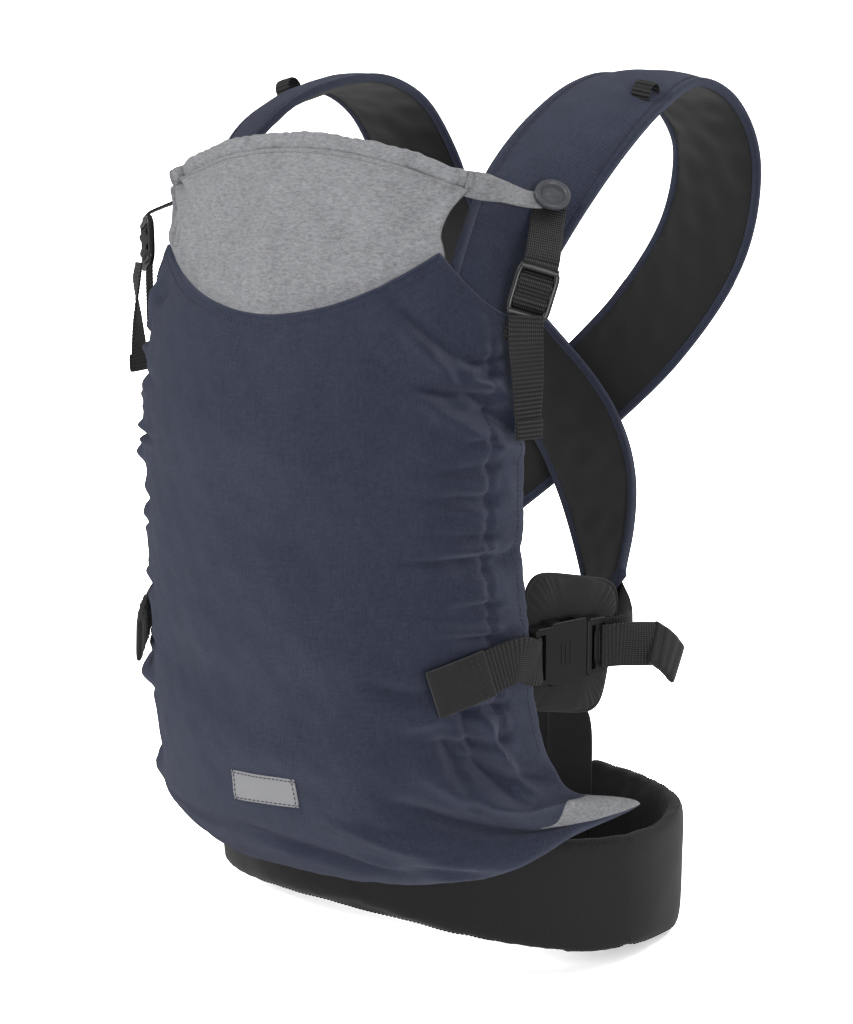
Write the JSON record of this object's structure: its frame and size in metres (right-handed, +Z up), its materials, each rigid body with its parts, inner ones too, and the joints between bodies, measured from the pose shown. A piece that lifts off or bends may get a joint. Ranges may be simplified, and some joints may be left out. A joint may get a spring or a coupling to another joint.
{
  "type": "soft baby carrier",
  "caption": "Soft structured baby carrier: padded waist belt, gathered front panel with a soft hood, and padded shoulder straps that cross behind, closed by side-release buckles.",
  "frame": {"origin": "centre of the bounding box's bottom, on the plane that the belt stands on", "axes": "+Z up, -Y the way the panel's outside faces, +X to the right of someone who looks at the panel"},
  "size_m": [0.3942, 0.4216, 0.6231],
  "materials": {
    "navy_twill": "matte twill",
    "grey_jersey": "soft flecked knit",
    "black_canvas": "matte cotton canvas",
    "foam": "padding, hidden",
    "webbing": "ribbed webbing",
    "elastic": "woven elastic, hidden",
    "buckle_plastic": "satin black",
    "button_plastic": "dark grey",
    "label_weave": "woven label without marks"
  },
  "bodies": {
    "carrier": {"belt_button": "button_plastic", "belt_cover": "black_canvas", "belt_foam": "foam", "belt_lining": "black_canvas", "buckle_guard_left": "black_canvas", "buckle_guard_right": "black_canvas", "care_label": "label_weave", "hood_base": "grey_jersey", "lift_anchors": "webbing", "lift_webbing_left": "webbing", "lift_webbing_right": "webbing", "lumbar_pad": "black_canvas", "panel_lining": "grey_jersey", "panel_padding": "foam", "panel_shell": "navy_twill", "side_elastics": "elastic", "side_socket_left": "buckle_plastic", "side_socket_right": "buckle_plastic", "side_webbing_left": "webbing", "side_webbing_right": "webbing", "snap_studs": "button_plastic", "strap_binding_left": "navy_twill", "strap_binding_right": "navy_twill", "strap_cover_left": "navy_twill", "strap_cover_right": "navy_twill", "strap_end_webbing_left": "webbing", "strap_end_webbing_right": "webbing", "strap_foam_left": "foam", "strap_foam_right": "foam", "strap_lining_left": "black_canvas", "strap_lining_right": "black_canvas", "strap_loops": "webbing", "waist_socket": "buckle_plastic", "waist_webbing_left": "webbing", "waist_webbing_right": "webbing"},
    "hood": {"hood_flap": "grey_jersey", "hood_hem": "grey_jersey", "hood_ear_right": "grey_jersey", "hood_ear_left": "grey_jersey", "snap_cap_right": "button_plastic", "snap_cap_left": "button_plastic"},
    "waist_plug": {"waist_plug": "buckle_plastic", "waist_tail": "webbing"},
    "waist_latch_upper": {"waist_latch_upper": "buckle_plastic"},
    "waist_latch_lower": {"waist_latch_lower": "buckle_plastic"},
    "side_plug_right": {"side_plug_right": "buckle_plastic", "strap_end_tail_right": "webbing"},
    "side_latch_upper_right": {"side_latch_upper_right": "buckle_plastic"},
    "side_latch_lower_right": {"side_latch_lower_right": "buckle_plastic"},
    "ladder_lock_right": {"ladder_lock_right": "buckle_plastic", "lift_turn_right": "webbing"},
    "lift_tail_right": {"lift_tail_right": "webbing"},
    "side_plug_left": {"side_plug_left": "buckle_plastic", "strap_end_tail_left": "webbing"},
    "side_latch_upper_left": {"side_latch_upper_left": "buckle_plastic"},
    "side_latch_lower_left": {"side_latch_lower_left": "buckle_plastic"},
    "ladder_lock_left": {"ladder_lock_left": "buckle_plastic", "lift_turn_left": "webbing"},
    "lift_tail_left": {"lift_tail_left": "webbing"}
  },
  "joints": [
    {"name": "hood_fold", "type": "hinge", "parent": "carrier", "child": "hood", "pos_m": [0, -0.175, 0.501], "axis": [1, 0, 0], "range_deg": [0, 50]},
    {"name": "waist_release", "type": "slide", "parent": "carrier", "child": "waist_plug", "axis": [1, 0, 0], "range_m": [0, 0.035]},
    {"name": "waist_squeeze", "type": "hinge", "parent": "waist_plug", "child": "waist_latch_upper", "pos_m": [-0.003, 0.1363, 0.0698], "axis": [0, -1, 0], "range_deg": [0, 6], "stiffness_Nm_per_rad": 0.2},
    {"name": "waist_squeeze_lower", "type": "hinge", "parent": "waist_plug", "child": "waist_latch_lower", "pos_m": [-0.003, 0.1363, 0.0302], "axis": [0, 1, 0], "range_deg": [0, 6], "stiffness_Nm_per_rad": 0.2},
    {"name": "side_release_right", "type": "slide", "parent": "carrier", "child": "side_plug_right", "axis": [0.2496, 0.9684, 0], "range_m": [0, 0.035]},
    {"name": "side_squeeze_right", "type": "hinge", "parent": "side_plug_right", "child": "side_latch_upper_right", "pos_m": [0.15625, -0.0439, 0.2428], "axis": [0.9684, -0.2496, 0], "range_deg": [0, 6], "stiffness_Nm_per_rad": 0.2},
    {"name": "side_squeeze_lower_right", "type": "hinge", "parent": "side_plug_right", "child": "side_latch_lower_right", "pos_m": [0.15625, -0.0439, 0.2132], "axis": [-0.9684, 0.2496, 0], "range_deg": [0, 6], "stiffness_Nm_per_rad": 0.2},
    {"name": "lock_tilt_right", "type": "hinge", "parent": "carrier", "child": "ladder_lock_right", "pos_m": [0.1605, -0.1215, 0.45774], "axis": [0.7826, 0.5524, -0.2871], "range_deg": [0, 18], "stiffness_Nm_per_rad": 0.02},
    {"name": "tail_swing_right", "type": "hinge", "parent": "carrier", "child": "lift_tail_right", "pos_m": [0.16503, -0.12674, 0.45998], "axis": [-0.7826, -0.5524, 0.2871], "range_deg": [0, 50]},
    {"name": "side_release_left", "type": "slide", "parent": "carrier", "child": "side_plug_left", "axis": [-0.2496, 0.9684, 0], "range_m": [0, 0.035]},
    {"name": "side_squeeze_left", "type": "hinge", "parent": "side_plug_left", "child": "side_latch_upper_left", "pos_m": [-0.15625, -0.0439, 0.2428], "axis": [0.9684, 0.2496, 0], "range_deg": [0, 6], "stiffness_Nm_per_rad": 0.2},
    {"name": "side_squeeze_lower_left", "type": "hinge", "parent": "side_plug_left", "child": "side_latch_lower_left", "pos_m": [-0.15625, -0.0439, 0.2132], "axis": [-0.9684, -0.2496, 0], "range_deg": [0, 6], "stiffness_Nm_per_rad": 0.2},
    {"name": "lock_tilt_left", "type": "hinge", "parent": "carrier", "child": "ladder_lock_left", "pos_m": [-0.16544, -0.11656, 0.4807], "axis": [0.7826, -0.5524, 0.2871], "range_deg": [0, 18], "stiffness_Nm_per_rad": 0.02},
    {"name": "tail_swing_left", "type": "hinge", "parent": "carrier", "child": "lift_tail_left", "pos_m": [-0.16997, -0.1218, 0.48294], "axis": [-0.7826, 0.5524, -0.2871], "range_deg": [0, 50]}
  ],
  "couplings": [
    {"joint": "waist_squeeze_lower", "follows": "waist_squeeze", "ratio": 1},
    {"joint": "side_squeeze_lower_right", "follows": "side_squeeze_right", "ratio": 1},
    {"joint": "side_squeeze_lower_left", "follows": "side_squeeze_left", "ratio": 1}
  ]
}
